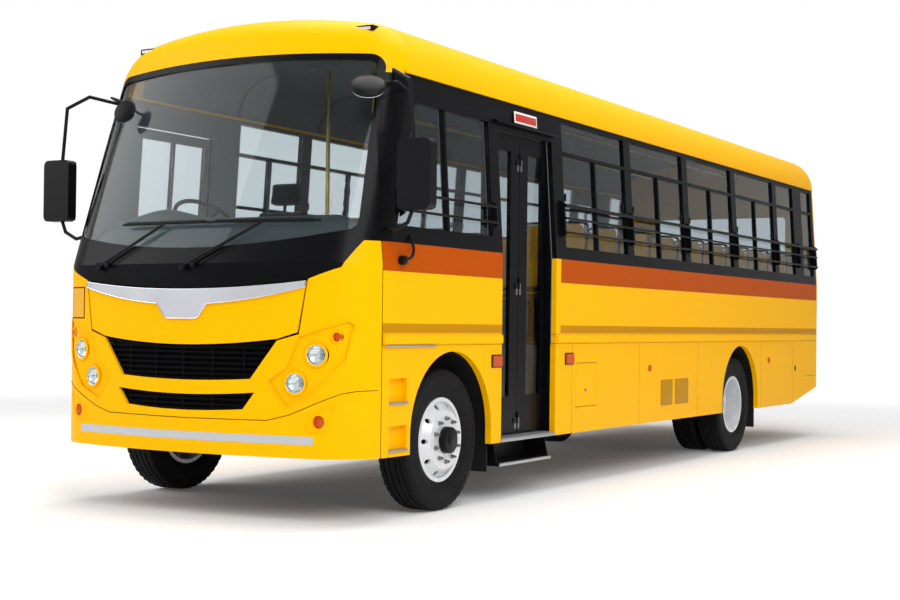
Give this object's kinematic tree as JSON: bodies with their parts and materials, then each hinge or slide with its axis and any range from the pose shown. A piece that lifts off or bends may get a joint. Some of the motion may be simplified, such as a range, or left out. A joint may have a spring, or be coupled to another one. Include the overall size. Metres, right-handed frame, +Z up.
{
  "type": "school bus",
  "caption": "Front-engined school bus with a folding entrance, steered front wheels, twin rear wheels and doors for the driver and for emergencies.",
  "frame": {"origin": "on the ground below the middle of the bus", "axes": "front faces -Y, the kerb side with the entrance is +X, +Z up"},
  "size_m": [3.179, 10.04, 3.25],
  "materials": {
    "yellow_paint": "gloss",
    "black_paint": "gloss",
    "chassis_black": "satin",
    "steel": "satin",
    "chrome": "polished",
    "aluminium": "brushed",
    "cast_iron": "rough",
    "tyre_rubber": "matte",
    "black_rubber": "matte",
    "black_plastic": "matte",
    "grey_plastic": "matte",
    "seat_yellow": "satin",
    "blue_fabric": "woven",
    "vinyl_floor": "matte",
    "clear_glass": "clear",
    "dark_glass": "tinted",
    "amber_lens": "gloss",
    "red_lens": "gloss",
    "rim_silver": "satin"
  },
  "bodies": {
    "coach": {"amber_lamps": "amber_lens", "chassis_frame": "chassis_black", "dashboard": "grey_plastic", "driveline": "cast_iron", "driver_seat": "blue_fabric", "engine_cover": "grey_plastic", "entrance_frame": "aluminium", "entrance_steps": "aluminium", "fixed_hinges": "steel", "floor_deck": "vinyl_floor", "front_axle": "cast_iron", "front_bumper": "yellow_paint", "front_panel": "yellow_paint", "grab_rails": "steel", "grilles": "black_plastic", "headlamps": "clear_glass", "leaf_springs": "chassis_black", "lower_side_left": "yellow_paint", "lower_side_right": "yellow_paint", "mirrors": "black_plastic", "rear_axle": "cast_iron", "rear_bumper": "yellow_paint", "rear_wall": "yellow_paint", "roof": "yellow_paint", "seat_cushions": "blue_fabric", "seat_frames": "steel", "seat_shells": "seat_yellow", "side_mouldings": "yellow_paint", "tail_lamps": "red_lens", "underfloor_tanks": "chassis_black", "wheel_housings": "black_rubber", "window_frame_left": "black_paint", "window_frame_right": "black_paint", "window_glass": "dark_glass", "window_guards": "aluminium", "windscreen_glass": "clear_glass", "windscreen_surround": "black_paint", "wipers": "black_plastic"},
    "front_flap": {"front_flap": "yellow_paint", "chrome_strip": "chrome"},
    "fuel_flap": {"fuel_flap": "yellow_paint"},
    "driver_door": {"driver_door": "yellow_paint", "driver_door_glass": "dark_glass"},
    "emergency_door": {"emergency_door": "yellow_paint", "emergency_door_glass": "dark_glass"},
    "entrance_front": {"entrance_leaf_front": "black_paint", "entrance_glass_front": "dark_glass"},
    "entrance_rear": {"entrance_leaf_rear": "black_paint", "entrance_glass_rear": "dark_glass"},
    "steering_wheel": {"steering_wheel": "black_plastic"},
    "knuckle_left": {"knuckle_left": "cast_iron"},
    "knuckle_right": {"knuckle_right": "cast_iron"},
    "front_wheel_left": {"front_wheel_left": "rim_silver", "front_tyre_left": "tyre_rubber"},
    "front_wheel_right": {"front_wheel_right": "rim_silver", "front_tyre_right": "tyre_rubber"},
    "twin_left": {"twin_wheels_left": "rim_silver", "twin_tyres_left": "tyre_rubber"},
    "twin_right": {"twin_wheels_right": "rim_silver", "twin_tyres_right": "tyre_rubber"}
  },
  "joints": [
    {"name": "front_flap_hinge", "type": "hinge", "parent": "coach", "child": "front_flap", "pos_m": [0, -4.914, 1.57], "axis": [-1, 0, 0], "range_deg": [0, 80]},
    {"name": "driver_door_hinge", "type": "hinge", "parent": "coach", "child": "driver_door", "pos_m": [-1.258, -4.145, 1.9], "axis": [0, 0, 1], "range_deg": [0, 75]},
    {"name": "emergency_door_hinge", "type": "hinge", "parent": "coach", "child": "emergency_door", "pos_m": [-1.258, 3.314, 1.9], "axis": [0, 0, 1], "range_deg": [0, 75]},
    {"name": "entrance_front_hinge", "type": "hinge", "parent": "coach", "child": "entrance_front", "pos_m": [1.133, -3.016, 1.5], "axis": [0, 0, 1], "range_deg": [0, 85]},
    {"name": "entrance_fold_hinge", "type": "hinge", "parent": "entrance_front", "child": "entrance_rear", "pos_m": [1.156, -2.6125, 1.5], "axis": [0, 0, 1], "range_deg": [-170, 0]},
    {"name": "fuel_flap_hinge", "type": "hinge", "parent": "coach", "child": "fuel_flap", "pos_m": [1.246, -1.625, 0.935], "axis": [0, -1, 0], "range_deg": [0, 100]},
    {"name": "steering_wheel_turn", "type": "hinge", "parent": "coach", "child": "steering_wheel", "pos_m": [-0.65, -3.988, 1.945], "axis": [0, 0.5736, 0.8192], "range_deg": [-560, 560]},
    {"name": "knuckle_left_steer", "type": "hinge", "parent": "coach", "child": "knuckle_left", "pos_m": [0.9, -3.75, 0.47], "axis": [0, 0, 1], "range_deg": [-35, 35]},
    {"name": "knuckle_right_steer", "type": "hinge", "parent": "coach", "child": "knuckle_right", "pos_m": [-0.9, -3.75, 0.47], "axis": [0, 0, 1], "range_deg": [-35, 35]},
    {"name": "front_wheel_left_spin", "type": "hinge", "parent": "knuckle_left", "child": "front_wheel_left", "pos_m": [1.075, -3.75, 0.47], "axis": [1, 0, 0], "continuous": true},
    {"name": "front_wheel_right_spin", "type": "hinge", "parent": "knuckle_right", "child": "front_wheel_right", "pos_m": [-1.075, -3.75, 0.47], "axis": [1, 0, 0], "continuous": true},
    {"name": "twin_left_spin", "type": "hinge", "parent": "coach", "child": "twin_left", "pos_m": [0.94, 2.05, 0.47], "axis": [1, 0, 0], "continuous": true},
    {"name": "twin_right_spin", "type": "hinge", "parent": "coach", "child": "twin_right", "pos_m": [-0.94, 2.05, 0.47], "axis": [1, 0, 0], "continuous": true}
  ],
  "couplings": [
    {"joint": "knuckle_right_steer", "follows": "knuckle_left_steer", "ratio": 1},
    {"joint": "steering_wheel_turn", "follows": "knuckle_left_steer", "ratio": 16},
    {"joint": "entrance_fold_hinge", "follows": "entrance_front_hinge", "ratio": -2}
  ]
}
